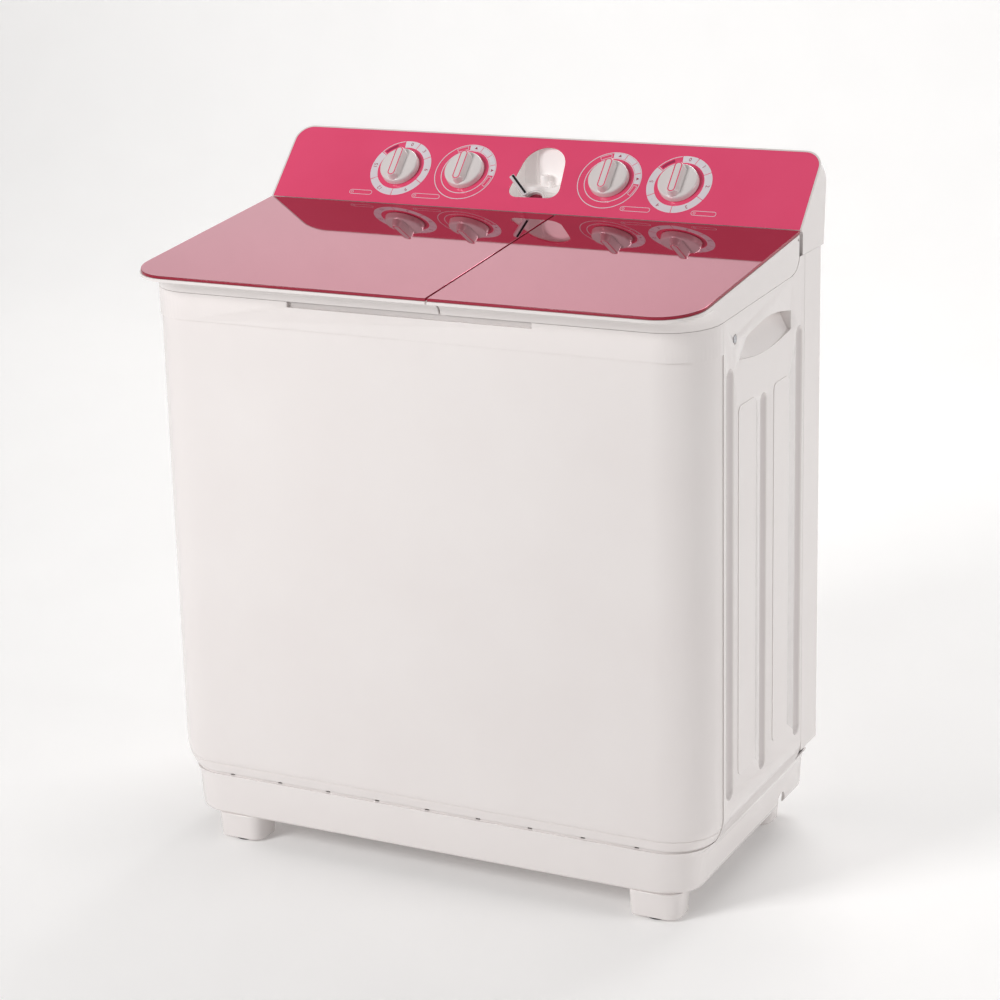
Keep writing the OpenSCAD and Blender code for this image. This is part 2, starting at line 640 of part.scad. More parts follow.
module safety_lid() color([0.85, 0.88, 0.92]) {
    difference() {
        union() {
            intersection() {
                translate([0, 0, 700]) linear_extrude(300) slab_outline(spin_x - 150, spin_x + 150, -178, safety_y - 6, 30);
                deck_layer(7, 9.5);
            }
            for (x = [[100, 117.4], [124.6, 347.4], [354.6, 372]]) {
                translate([x[0], safety_y, safety_pin_z]) rotate([0, 90, 0]) cylinder(r = 3.6, h = x[1] - x[0]);
                translate([x[0], safety_y - 10, safety_pin_z - 2]) cube([x[1] - x[0], 9, 2.4]);
            }
            translate([spin_x - 40, -150, deck_at(-150) + 9]) cube([80, 12, 8]);
        }
        for (x = safety_lugs) translate([x[0] - 16, safety_y, safety_pin_z]) rotate([0, 90, 0])
            cylinder(r = pin_r + 0.05, h = 38);
    }
}

// ---------------------------------------------------------------- knobs and their switches

knob_r = 30;
knob_h = 9.5;
shaft_r = 3;
module knob(x) on_panel() translate([x, dial_t, 0.8]) {
    difference() {
        union() {
            rotate_extrude($fn = 64) polygon(concat([[0, 0], [knob_r, 0]], arc(knob_r - 3.5, knob_h - 3, 3, 0, 90, 4), [[0, knob_h]]));
            hull() {
                for (y = [-18.5, 16]) translate([0, y, knob_h - 1]) cylinder(r = 9.5, h = 1, $fn = 32);
                for (y = [-20.5, 18]) translate([0, y, knob_h + 9]) cylinder(r = 6.3, h = 1, $fn = 32);
                for (y = [-20.5, 18]) translate([0, y, knob_h + 10]) cylinder(r = 5.8, h = 0.5, $fn = 32);
            }
        }
        translate([0, 0, -1]) cylinder(r = shaft_r, h = knob_h);
        difference() {
            translate([0, 0, -1]) cylinder(r = knob_r - 2.5, h = knob_h - 2);
            translate([0, 0, -2]) cylinder(r = 6, h = knob_h + 4);
        }
    }
}
module wash_timer_knob() color(white) knob(-timer_x);
module wash_selector_knob() color(white) knob(-selector_x);
module drain_knob() color(white) knob(selector_x);
module spin_timer_knob() color(white) knob(timer_x);

module dial_shaft(x) on_panel() translate([x, dial_t, -plate_back - 6]) cylinder(r = shaft_r, h = plate_back + 6 + knob_h - 0.3);
module wash_timer_shaft() color(steel) dial_shaft(-timer_x);
module wash_selector_shaft() color(steel) dial_shaft(-selector_x);
module drain_shaft() color(steel) dial_shaft(selector_x);
module spin_timer_shaft() color(steel) dial_shaft(timer_x);

// Switch body under the panel plate, with a clearance bore for its shaft
module switch_body(x, w, depth) on_panel() translate([x, dial_t, -plate_back - depth]) difference() {
    union() {
        translate([-w / 2, -w / 2, 0]) cube([w, w, depth]);
        translate([0, 0, -3]) cylinder(r = w * 0.38, h = 4);
    }
    translate([0, 0, depth - 8]) cylinder(r = shaft_r + 0.06, h = 10);
}
module wash_timer() color("ivory") switch_body(-timer_x, 56, 30);
module spin_timer() color("ivory") switch_body(timer_x, 56, 30);
module wash_selector() color("dimgray") switch_body(-selector_x, 36, 18);
module drain_selector() color("dimgray") switch_body(selector_x, 36, 18);

// Inlet diverter: a round cup under the window with a chromed lever that swings between the tubs
hub_at = [5, 27];
hub_r = 17;
hub_low = -17;
module diverter_hub() color(white) on_panel() translate([hub_at[0], hub_at[1], hub_low]) {
    difference() {
        cylinder(r = hub_r, h = 10);
        translate([0, 0, 5]) cylinder(r = hub_r - 4, h = 20);
    }
    translate([0, 0, -10]) cylinder(r = 4, h = 11);
}
lever_base = [-15, 6, -7];
lever_run = [-19, 16, 22];
module diverter_lever() color(steel) on_panel() translate([hub_at[0], hub_at[1], 0] + lever_base) {
    cylinder(r = 3.4, h = 6);
    translate([0, 0, 4]) rotate([0, atan2(norm([lever_run[0], lever_run[1]]), lever_run[2]), atan2(lever_run[1], lever_run[0])])
        translate([-2.6, -3.8, -0.5]) cube([5.2, 7.6, norm(lever_run)]);
}

// ---------------------------------------------------------------- wash drive

module pulsator() color([0.86, 0.88, 0.92]) at_wash() difference() {
    union() {
        translate([0, 0, 382]) rotate_extrude($fn = 96) polygon([[0, 0], [pulsator_r - 6, 0], [pulsator_r, 6], [pulsator_r - 4, 9],
            [110, 7], [60, 12], [40, 22], [22, 30], [0, 33]]);
        for (a = [0:90:270]) rotate(a + 20) intersection() {
            translate([24, 0, 394]) rotate([0, 90 + 2, 0]) cylinder(r1 = 20, r2 = 11, h = 128);
            translate([-200, -200, 386]) cube([400, 400, 60]);
        }
    }
    translate([0, 0, 370]) cylinder(r = 8, h = 32);
}
module pulsator_shaft() color(steel) at_wash() translate([0, 0, 250]) cylinder(r = 8, h = 152);

belt_z = 272;
module v_pulley(r, bore) rotate_extrude($fn = 96)
    polygon([[bore, belt_z - 10], [r, belt_z - 10], [r, belt_z - 6.5], [r - 9, belt_z - 3.6], [r - 9, belt_z + 3.6], [r, belt_z + 6.5],
        [r, belt_z + 10], [bore, belt_z + 10]]);
module pulsator_pulley() color([0.6, 0.62, 0.65]) at_wash() difference() {
    v_pulley(pulley_r, 8);
    for (a = [0:60:300]) rotate(a) translate([pulley_r * 0.55, 0, belt_z - 20]) cylinder(r = 15, h = 40);
}

motor_at = [wash_x - 125, shaft_y + 135];
module at_motor() { translate([motor_at[0], motor_at[1], 0]) children(); }
module wash_motor_shaft() color(steel) at_motor() translate([0, 0, 240]) cylinder(r = 6, h = 46);
module motor_pulley() color([0.6, 0.62, 0.65]) at_motor() v_pulley(motor_pulley_r, 6);

module drive_belt() color(rubber) {
    span = norm([125, 135]);
    turn = atan2(135, -125);
    r1 = pulley_r - 3.4;
    r2 = motor_pulley_r - 3.4;
    tilt = asin((r1 - r2) / span);
    at_wash() rotate(turn) difference() {
        translate([0, 0, belt_z - 3.2]) linear_extrude(6.4) belt_outline(span, r1, r2, tilt);
        translate([0, 0, belt_z - 10]) linear_extrude(20) belt_outline(span, r1 - 4.8, r2 - 4.8, tilt);
    }
}
module belt_outline(span, r1, r2, tilt)
    polygon(concat(arc(0, 0, r1, 90 - tilt, 270 + tilt, 32), arc(span, 0, r2, tilt - 90, 90 - tilt, 16)));

module bearing_housing() color([0.7, 0.7, 0.72]) at_wash() difference() {
    union() {
        translate([0, 0, 290]) cylinder(r = 22, h = 75);
        translate([0, 0, 364.8]) cylinder(r = 62, h = 6.2);
        translate([0, 0, 368]) cylinder(r = 19.8, h = 9);
    }
    translate([0, 0, 280]) cylinder(r = 8.05, h = 120);
}
module shaft_seal() color(rubber) at_wash() tube(17, 8.3, 377, 381);

// Motor: round stator shell with two end caps and four ears that stand on the bracket
bracket_x = [motor_at[0] - 78, motor_at[0] + 78];
bracket_y = [motor_at[1] - 62, motor_at[1] + 62];
bracket_z = 98;
module motor_body(z0, z1, r, bore) difference() {
    union() {
        translate([0, 0, z0 + 12]) cylinder(r = r, h = z1 - z0 - 24);
        translate([0, 0, z0]) cylinder(r = r - 6, h = z1 - z0);
        translate([0, 0, z1 - 1]) cylinder(r = 18, h = 5);
    }
    translate([0, 0, z1 - 16]) cylinder(r = bore + 0.06, h = 40);
}
module wash_motor() color([0.55, 0.57, 0.6]) at_motor() motor_body(bracket_z + 4, 252, 62, 6);
module motor_bracket() color(steel) difference() {
    translate([bracket_x[0], bracket_y[0], bracket_z]) cube([156, 124, 4]);
    at_motor() translate([0, 0, bracket_z - 1]) cylinder(r = 30, h = 8);
}
module motor_bushes() color(rubber)
    for (x = [bracket_x[0] + 14, bracket_x[1] - 14]) for (y = [bracket_y[0] + 14, bracket_y[1] - 14])
        translate([x, y, floor_top + 16]) cylinder(r = 11, h = bracket_z - floor_top - 16);

// ---------------------------------------------------------------- spin drive

basket_z = [432, 800];
module spin_basket() color(steel) at_spin() difference() {
    union() {
        translate([0, 0, basket_z[0]]) cylinder(r = basket_r, h = basket_z[1] - basket_z[0] - 18, $fn = 96);
        translate([0, 0, basket_z[0] - 8]) cylinder(r = 34, h = 10);
    }
    translate([0, 0, basket_z[0] + 4]) cylinder(r = basket_r - 1.6, h = 400, $fn = 96);
    translate([0, 0, basket_z[0] - 20]) cylinder(r = 9, h = 40);
    for (a = [0:30:330]) for (z = [0:4]) rotate(a + (z % 2) * 15) translate([basket_r - 10, 0, basket_z[0] + 40 + z * 62])
        rotate([0, 90, 0]) cylinder(r = 3, h = 20, $fn = 16);
}
module balance_ring() color(white) at_spin() rotate_extrude($fn = 96)
    polygon([[basket_r - 12, basket_z[1] - 18], [basket_r, basket_z[1] - 18], [basket_r + 3, basket_z[1] - 14],
        [basket_r + 3, basket_z[1] - 3], [basket_r, basket_z[1]], [basket_r - 12, basket_z[1]], [basket_r - 15, basket_z[1] - 4],
        [basket_r - 15, basket_z[1] - 14]]);
module spin_shaft() color(steel) at_spin() {
    translate([0, 0, 244]) cylinder(r = 6.5, h = 57);
    translate([0, 0, 300]) cylinder(r = 9, h = 136);
    translate([0, 0, 436]) cylinder(r = 24, h = 7);
}
drum_r = 48;
module brake_drum() color([0.6, 0.62, 0.65]) at_spin() difference() {
    union() {
        translate([0, 0, 292]) cylinder(r = drum_r, h = 26, $fn = 64);
        translate([0, 0, 282]) cylinder(r = 18, h = 60);
    }
    translate([0, 0, 300]) cylinder(r = 9, h = 60);
    translate([0, 0, 270]) cylinder(r = 6.5, h = 40);
}
module bellows_seal() color(rubber) at_spin() rotate_extrude($fn = 64)
    polygon([[9.3, 380], [14, 380], [16, 388], [22, 384], [26, 392], [33.8, 392], [33.8, 399], [46, 399 - 4], [46, 394 - 4],
        [36, 388], [28, 388], [24, 378], [18, 376], [9.3, 372]]);

spring_ring = 72;
plate_z = 126;
module spin_motor() color([0.55, 0.57, 0.6]) at_spin() difference() {
    union() {
        translate([0, 0, plate_z + 16]) cylinder(r = 62, h = 100);
        translate([0, 0, plate_z + 4]) cylinder(r = 56, h = 124);
        translate([0, 0, 250]) cylinder(r = 18, h = 8);
        translate([40, -74, 248]) cube([30, 60, 6]);
        translate([lever_pivot[0], lever_pivot[1], 250]) cylinder(r = 3, h = 60);
    }
    translate([0, 0, 240]) cylinder(r = 6.56, h = 40);
}
lever_pivot = [60, -64];
module spin_motor_plate() color(steel) at_spin() difference() {
    translate([0, 0, plate_z]) cylinder(r = 90, h = 4, $fn = 64);
    translate([0, 0, plate_z - 1]) cylinder(r = 26, h = 8);
}

// Three coil springs, each swept from its turns and closed at both ends
spring_turns = 4;
spring_steps = 12;
module coil(r, wire, z0, z1) {
    count = spring_turns * spring_steps;
    skin([for (i = [0:count]) let (a = 360 * i / spring_steps, z = z0 + wire + (z1 - z0 - 2 * wire) * i / count)
        [for (j = [0:5]) let (b = 60 * j) [(r + wire * cos(b)) * cos(a), (r + wire * cos(b)) * sin(a), z - wire * sin(b)]]]);
}
module spin_springs() color("silver") at_spin()
    for (a = [30:120:270]) rotate(a) translate([spring_ring, 0, 0]) coil(11.5, 1.6, floor_top + 0.2, plate_z);

// Brake lever: a long flat arm with a pad that closes on the drum when the spin lid opens
module brake_lever() color([0.35, 0.36, 0.38]) at_spin() difference() {
    union() {
        translate([56, -76, 300]) cube([8, 250, 6]);
        translate([lever_pivot[0], lever_pivot[1], 300]) cylinder(r = 8, h = 6);
        translate([51.6, -14, 297]) cube([5, 28, 12]);
    }
    translate([lever_pivot[0], lever_pivot[1], 290]) cylinder(r = 3.05, h = 30);
}

// ---------------------------------------------------------------- water path

drain_x = 355;
drain_y = 120;
valve_at = [-20, 185];
spin_port = [spin_x, shaft_y + 112];
valve_r = 24;
module drain_valve() color([0.9, 0.9, 0.88]) difference() {
    union() {
        translate([valve_at[0], valve_at[1], 316]) cylinder(r = valve_r, h = 76);
        translate([valve_at[0] - 14, drain_port[1] - 14, 354]) cube([28, valve_at[1] - drain_port[1], 27.9]);
    }
    translate([valve_at[0], valve_at[1], 319]) cylinder(r = valve_r - 3, h = 70);
    translate([valve_at[0] - 11, drain_port[1] - 11, 357]) cube([22, valve_at[1] - drain_port[1], 21]);
    translate([drain_port[0], drain_port[1], 370]) cylinder(r = 10, h = 20);
    translate([valve_at[0], valve_at[1], 380]) cylinder(r = 3.5, h = 20);
    translate([valve_at[0], valve_at[1], 310]) cylinder(r = 10.9, h = 20);
}
module drain_plug() color([0.2, 0.2, 0.22]) translate([valve_at[0], valve_at[1], 0]) {
    translate([0, 0, 319.2]) cylinder(r = 18, h = 10);
    translate([0, 0, 329]) cylinder(r = 3, h = 500);
}
branch_end = [spin_port[0], valve_at[1] + (drain_y - valve_at[1]) * (spin_x - valve_at[0]) / (drain_x - valve_at[0]), 96];
module drain_run(r, r_spin) {
    rod([valve_at[0], valve_at[1], 96], [drain_x, drain_y, 96], r);
    rod([spin_port[0], spin_port[1], 96], branch_end, r_spin);
}
module drain_pipe() color([0.85, 0.86, 0.85]) difference() {
    union() {
        drain_run(13, 11);
        for (p = [valve_at, spin_port, [drain_x, drain_y]]) translate([p[0], p[1], 79]) cylinder(r = 17, h = 34);
        translate([valve_at[0], valve_at[1], 100]) cylinder(r = 13, h = 216);
        translate([spin_port[0], spin_port[1], 100]) cylinder(r = 11, h = spin_floor - wall - 100.1);
        translate([drain_x, drain_y, 60]) cylinder(r = 13, h = 36);
        translate([drain_x, drain_y, 46]) cylinder(r = 14, h = 20);
    }
    drain_run(10, 8);
    translate([valve_at[0], valve_at[1], 84]) cylinder(r = 10.4, h = 260);
    translate([spin_port[0], spin_port[1], 84]) cylinder(r = 8.4, h = 320);
    translate([drain_x, drain_y, 40]) cylinder(r = 10.4, h = 67);
}

module lint_filter() color([0.78, 0.86, 0.95]) difference() {
    translate([-150, 96, 600]) cube([120, 21.8, 170]);
    translate([-145, 90, 606]) cube([110, 22, 150]);
}

// ---------------------------------------------------------------- small parts

// Capacitors, lid switch and cable gland
module electrics() color([0.3, 0.32, 0.36]) {
    for (x = [40, 90]) translate([x, 60, floor_top]) cylinder(r = 19, h = 78);
    translate([376, 158, 800]) cube([26, 12, 33]);
    translate([-300, rear_y - 14, 170]) rotate([-90, 0, 0]) cylinder(r = 7, h = 17);
    translate([-300, rear_y, 170]) rotate([-90, 0, 0]) cylinder(r = 10, h = 3);
}

module screws() color(steel) {
    for (s = [-1, 1]) translate([s * (half_w - 4.6), -99, 793]) rotate([0, s * 90, 0]) {
        translate([0, 0, 3]) cylinder(r = 5, h = 2.4);
        translate([0, 0, -5]) cylinder(r = 2, h = 8.2);
    }
    for (x = [-380, 0, 380]) for (z = [150, 820]) translate([x, rear_y, z]) rotate([-90, 0, 0]) {
        cylinder(r = 4.5, h = 2.4);
        translate([0, 0, -9]) cylinder(r = 2, h = 9.2);
    }
}

plinth();
feet();
foot_pads();
front_panel();
side_panel_right();
side_panel_left();
rear_cover();
top_frame();
wash_tub();
spin_tub();
control_housing();
fascia();
inlet_chamber();
inlet_pipe();
wash_lid_frame();
wash_lid_glass();
spin_lid_frame();
spin_lid_glass();
hinge_pins();
safety_lid();
wash_timer_knob();
wash_selector_knob();
drain_knob();
spin_timer_knob();
wash_timer_shaft();
wash_selector_shaft();
drain_shaft();
spin_timer_shaft();
wash_timer();
wash_selector();
drain_selector();
spin_timer();
diverter_hub();
diverter_lever();
pulsator();
pulsator_shaft();
pulsator_pulley();
bearing_housing();
shaft_seal();
wash_motor();
wash_motor_shaft();
motor_pulley();
drive_belt();
motor_bracket();
motor_bushes();
spin_basket();
balance_ring();
spin_shaft();
brake_drum();
bellows_seal();
spin_motor();
spin_motor_plate();
spin_springs();
brake_lever();
drain_valve();
drain_plug();
drain_pipe();
lint_filter();
electrics();
screws();
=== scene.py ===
import bpy, bmesh, json, math
from mathutils import Matrix, Vector


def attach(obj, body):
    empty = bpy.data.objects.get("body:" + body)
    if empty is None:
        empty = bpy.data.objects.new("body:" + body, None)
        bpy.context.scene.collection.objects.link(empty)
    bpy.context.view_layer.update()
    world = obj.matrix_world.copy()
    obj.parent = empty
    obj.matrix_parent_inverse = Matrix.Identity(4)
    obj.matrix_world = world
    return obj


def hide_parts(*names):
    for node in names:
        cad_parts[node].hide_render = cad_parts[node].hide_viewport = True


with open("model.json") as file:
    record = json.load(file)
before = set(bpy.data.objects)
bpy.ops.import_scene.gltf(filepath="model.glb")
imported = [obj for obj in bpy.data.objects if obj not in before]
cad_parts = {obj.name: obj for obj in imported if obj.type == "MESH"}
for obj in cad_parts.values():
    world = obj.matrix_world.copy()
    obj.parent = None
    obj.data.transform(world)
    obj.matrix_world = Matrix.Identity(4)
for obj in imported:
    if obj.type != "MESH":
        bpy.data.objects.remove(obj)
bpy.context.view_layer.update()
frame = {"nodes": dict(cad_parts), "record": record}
scene = bpy.context.scene
coll = scene.collection
nodes = frame["nodes"]
slot_of = {s["node"]: s["material_slot"] for s in frame["record"]["subparts"]}
body_of = {n: b for b, ns in frame["record"]["behaviour"]["bodies"].items() for n in ns}

# Lengths are in millimetres up to the point where a mesh is made
MM = 0.001


# ---------------------------------------------------------------- materials

GLOW_COLOUR = (1.0, 0.97, 0.955, 1.0)
GLOSS_SCALE = 38.0
BUMP_HEIGHT = 0.0006
COAT_ROUGHNESS = 0.06
# The part of the noise range that is stretched over each colour or gloss pair
NOISE_LOW, NOISE_HIGH = 0.3, 0.7


def noise(t, scale, detail, roughness):
    n = t.nodes.new("ShaderNodeTexNoise")
    n.inputs["Scale"].default_value = scale
    n.inputs["Detail"].default_value = detail
    n.inputs["Roughness"].default_value = roughness
    return n


def colour_ramp(t, source, low, high):
    r = t.nodes.new("ShaderNodeValToRGB")
    for el, position, colour in zip(r.color_ramp.elements, (NOISE_LOW, NOISE_HIGH), (low, high)):
        el.position = position
        el.color = (*colour, 1.0)
    t.links.new(source, r.inputs["Fac"])
    return r


def surface(name, low, high, rough, peel=0.03, peel_scale=420.0, mottle=6.0,
            coat=0.0, metallic=0.0, grain=None, glow=0.0):
    """Moulded or painted surface: slow colour variation, uneven gloss and a fine skin texture."""
    m = bpy.data.materials.new(name)
    m.use_nodes = True
    t = m.node_tree
    b = t.nodes["Principled BSDF"]
    co = t.nodes.new("ShaderNodeTexCoord")
    slow = noise(t, mottle, 3.0, 0.55)
    fine = noise(t, peel_scale, 2.0, 0.5)
    mid = noise(t, GLOSS_SCALE, 4.0, 0.6)
    for n in (slow, fine, mid):
        t.links.new(co.outputs["Object"], n.inputs["Vector"])
    if grain:
        mp = t.nodes.new("ShaderNodeMapping")
        mp.inputs["Scale"].default_value = grain
        t.links.new(co.outputs["Object"], mp.inputs["Vector"])
        t.links.new(mp.outputs["Vector"], fine.inputs["Vector"])
    colour = colour_ramp(t, slow.outputs["Fac"], low, high)
    t.links.new(colour.outputs["Color"], b.inputs["Base Color"])
    gloss = t.nodes.new("ShaderNodeMapRange")
    gloss.inputs["From Min"].default_value = NOISE_LOW
    gloss.inputs["From Max"].default_value = NOISE_HIGH
    gloss.inputs["To Min"].default_value = rough[0]
    gloss.inputs["To Max"].default_value = rough[1]
    t.links.new(mid.outputs["Fac"], gloss.inputs["Value"])
    t.links.new(gloss.outputs["Result"], b.inputs["Roughness"])
    bump = t.nodes.new("ShaderNodeBump")
    bump.inputs["Strength"].default_value = peel
    bump.inputs["Distance"].default_value = BUMP_HEIGHT
    t.links.new(fine.outputs["Fac"], bump.inputs["Height"])
    t.links.new(bump.outputs["Normal"], b.inputs["Normal"])
    b.inputs["Metallic"].default_value = metallic
    if glow:
        b.inputs["Emission Color"].default_value = GLOW_COLOUR
        b.inputs["Emission Strength"].default_value = glow
    if coat:
        b.inputs["Coat Weight"].default_value = coat
        b.inputs["Coat Roughness"].default_value = COAT_ROUGHNESS
    return m


# Brushing runs round the upright axis: the grain is much finer along it than across
BRUSHED = (40.0, 40.0, 900.0)

WHITE = surface("white_plastic", (0.85, 0.80, 0.785), (0.87, 0.825, 0.81), (0.16, 0.24), coat=0.3)
# Groove plastic: finer, duller grain than the walls, and a darker colour that is painted shade in
# the recessed grooves
GROOVE_PAINTED_SHADE = surface("groove_plastic_painted_shade", (0.73, 0.685, 0.675), (0.76, 0.715, 0.705), (0.34, 0.46),
                peel=0.14, peel_scale=700.0)
# Chamber plastic glows faintly warm-white: painted light that brightens the shaded window chamber
# and the pieces in it
SHELL_PAINTED_GLOW = surface("chamber_plastic_painted_glow", (0.93, 0.90, 0.885), (0.95, 0.925, 0.91), (0.3, 0.4), glow=0.13)
TUB = surface("tub_plastic", (0.80, 0.80, 0.80), (0.86, 0.86, 0.86), (0.22, 0.34))
PINK = surface("pink_panel", (0.93, 0.078, 0.195), (0.96, 0.094, 0.22), (0.12, 0.18),
               peel=0.01, coat=0.25)
GLASS = surface("pink_glass", (0.43, 0.125, 0.175), (0.45, 0.137, 0.19), (0.02, 0.04),
                peel=0.0015, mottle=2.0, metallic=1.0)
EDGE = surface("glass_edge", (0.30, 0.01, 0.03), (0.38, 0.015, 0.045), (0.1, 0.2), peel=0.02)
PRINT = surface("dial_print", (0.83, 0.78, 0.83), (0.88, 0.83, 0.87), (0.25, 0.35), peel=0.02)
INK = surface("dial_ink", (0.40, 0.018, 0.08), (0.46, 0.026, 0.10), (0.3, 0.4), peel=0.02)
RUBBER = surface("rubber", (0.018, 0.018, 0.02), (0.035, 0.035, 0.038), (0.55, 0.75),
                 peel=0.4, peel_scale=260.0)
STEEL = surface("steel", (0.50, 0.51, 0.53), (0.60, 0.61, 0.63), (0.22, 0.38),
                peel=0.12, metallic=1.0, grain=BRUSHED)
# Near-white gloss with little metal for the diverter lever: the white reflections of its chrome
# are painted into the colour
LEVER_PAINTED_SHINE = surface("chrome_painted_white_reflection", (0.94, 0.94, 0.95), (0.97, 0.97, 0.975), (0.08, 0.14),
                 peel=0.01, metallic=0.12, coat=0.6)
BASKET = surface("basket_steel", (0.66, 0.67, 0.69), (0.74, 0.75, 0.77), (0.34, 0.46),
                 peel=0.1, metallic=0.55, grain=BRUSHED)
CHROME = surface("chrome", (0.78, 0.78, 0.80), (0.84, 0.84, 0.86), (0.05, 0.1),
                 peel=0.01, metallic=1.0)
CLEAR = surface("milky_plastic", (0.74, 0.80, 0.84), (0.80, 0.85, 0.88), (0.12, 0.22), coat=0.4)
PALE = surface("pale_plastic", (0.62, 0.64, 0.66), (0.70, 0.72, 0.74), (0.28, 0.42), peel=0.08)
GREY = surface("grey_plastic", (0.05, 0.052, 0.058), (0.085, 0.088, 0.095), (0.45, 0.6),
               peel=0.25, peel_scale=300.0)
ALLOY = surface("cast_alloy", (0.42, 0.43, 0.45), (0.55, 0.56, 0.58), (0.35, 0.55),
                peel=0.5, peel_scale=160.0, metallic=1.0)
MOTOR = surface("motor_paint", (0.16, 0.17, 0.19), (0.22, 0.23, 0.25), (0.35, 0.5),
                peel=0.3, peel_scale=200.0)
CUP = surface("cup_red", (0.20, 0.012, 0.03), (0.26, 0.02, 0.045), (0.25, 0.35))
# Near-black gloss for the band on the lever: a painted dark reflection of its chrome
LEVER_DARK_REFLECTION_PAINT = surface("painted_dark_reflection", (0.02, 0.02, 0.024), (0.04, 0.04, 0.046), (0.08, 0.14),
                peel=0.01, metallic=0.6)

by_slot = {"white_plastic": WHITE, "pink_panel": PINK, "pink_glass": GLASS, "rubber": RUBBER,
           "steel": STEEL, "chrome": CHROME, "clear_plastic": CLEAR, "pale_plastic": PALE,
           "grey_plastic": GREY, "aluminium": ALLOY, "motor_paint": MOTOR}


# ---------------------------------------------------------------- mesh helpers

# Distances in metres below which two corners count as one, for built and for CAD meshes
WELD, CAD_WELD = 1e-6, 2e-6
FLAT_ANGLE = math.radians(0.6)
BEVEL_ANGLE = math.radians(32.0)
SMOOTH_ANGLE = 35.0
BOX_FACES = [(0, 2, 3, 1), (4, 5, 7, 6), (0, 1, 5, 4), (2, 6, 7, 3), (0, 4, 6, 2), (1, 3, 7, 5)]


def shade(o, angle):
    o.data.polygons.foreach_set("use_smooth", [True] * len(o.data.polygons))
    o.data.set_sharp_from_angle(angle=math.radians(angle))


def make(name, verts, faces, mat, body, smooth=SMOOTH_ANGLE):
    """A visual piece from corners in metres, riding a body."""
    me = bpy.data.meshes.new(name)
    me.from_pydata([tuple(v) for v in verts], [], faces)
    me.materials.append(mat)
    o = bpy.data.objects.new(name, me)
    coll.objects.link(o)
    bm = bmesh.new()
    bm.from_mesh(me)
    bmesh.ops.remove_doubles(bm, verts=bm.verts, dist=WELD)
    bmesh.ops.recalc_face_normals(bm, faces=bm.faces)
    bm.to_mesh(me)
    bm.free()
    shade(o, smooth)
    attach(o, body)
    return o


def polished(name, bevel, mat):
    """A finer copy of a CAD node: flat faces merged and every hard edge rounded.

    With no bevel the CAD faces stay as they are and only the shading is evened out."""
    o = bpy.data.objects.new(name + "_skin", nodes[name].data.copy())
    coll.objects.link(o)
    bm = bmesh.new()
    bm.from_mesh(o.data)
    bmesh.ops.remove_doubles(bm, verts=bm.verts, dist=CAD_WELD)
    if bevel:
        bmesh.ops.dissolve_limit(bm, angle_limit=FLAT_ANGLE, verts=bm.verts, edges=bm.edges)
    bm.to_mesh(o.data)
    bm.free()
    o.data.materials.clear()
    o.data.materials.append(mat)
    shade(o, SMOOTH_ANGLE)
    if bevel:
        b = o.modifiers.new("round", "BEVEL")
        b.width = bevel * MM
        b.segments = 2
        b.limit_method = "ANGLE"
        b.angle_limit = BEVEL_ANGLE
        b.harden_normals = False
        b.use_clamp_overlap = True
        b.miter_outer = "MITER_ARC"
    else:
        n = o.modifiers.new("flat_first", "WEIGHTED_NORMAL")
        n.mode = "FACE_AREA"
        n.weight = 100
        n.keep_sharp = True
    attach(o, body_of[name])
    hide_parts(name)
    return o


# ---------------------------------------------------------------- skins over the CAD nodes

EDGE_RADIUS = 0.4
GLASS_EDGE_RADIUS = 0.5
edge_radii = {
    "front_panel": 0.6, "plinth": 0.9, "feet": 1.2, "foot_pads": 0.6, "side_panel_right": 0.6,
    "side_panel_left": 0.6, "rear_cover": 0, "top_frame": 0.7, "control_housing": 1.0,
    "fascia": 0.5, "inlet_chamber": 0.6, "inlet_pipe": 0.7, "wash_lid_frame": 0.6,
    "spin_lid_frame": 0.6, "safety_lid": 0.6, "wash_timer_knob": 0.8, "wash_selector_knob": 0.8,
    "drain_knob": 0.8, "spin_timer_knob": 0.8, "diverter_hub": 0.6, "pulsator": 1.2,
    "wash_tub": 1.0, "spin_tub": 1.0, "balance_ring": 0.6, "lint_filter": 0.8,
}
finish_of = {"inlet_chamber": SHELL_PAINTED_GLOW, "spin_basket": BASKET, "wash_tub": TUB, "spin_tub": TUB,
             "diverter_lever": LEVER_PAINTED_SHINE}

for n, o in nodes.items():
    o.data.materials.clear()
    o.data.materials.append(by_slot[slot_of[n]])

for n in nodes:
    if "glass" not in n:
        polished(n, edge_radii.get(n, EDGE_RADIUS), finish_of.get(n, by_slot[slot_of[n]]))


# The sloping panel frame: x to the right, t up the slope from its foot, n out of the panel
SLOPE = math.radians(45.5)
PANEL_Y, PANEL_Z = 147.5, 891.3
PANEL_OUT = Vector((0, -math.sin(SLOPE), math.cos(SLOPE)))


def panel_point(x, t, n=0.0):
    """A point of the panel frame in millimetres of the shared frame."""
    return Vector((x, PANEL_Y + t * math.cos(SLOPE) - n * math.sin(SLOPE),
                   PANEL_Z + t * math.sin(SLOPE) + n * math.cos(SLOPE)))


def on_panel(x, t, n=0.0):
    return panel_point(x, t, n) * MM


def second_material(name, mat, test):
    """Gives the faces that pass a test another finish."""
    o = bpy.data.objects[name + "_skin"]
    o.data.materials.append(mat)
    for p in o.data.polygons:
        if test(p.center / MM, p.normal):
            p.material_index = 1


# The diverter cup turns on an axis square to the panel; its floor lies well below its rim
CUP_X, CUP_T = 5, 27
CUP_CENTRE = panel_point(CUP_X, CUP_T)
CUP_FLOOR = -10.5
second_material("diverter_hub", CUP, lambda c, n: n.dot(PANEL_OUT) > 0.9
                and (c - CUP_CENTRE).dot(PANEL_OUT) < CUP_FLOOR)

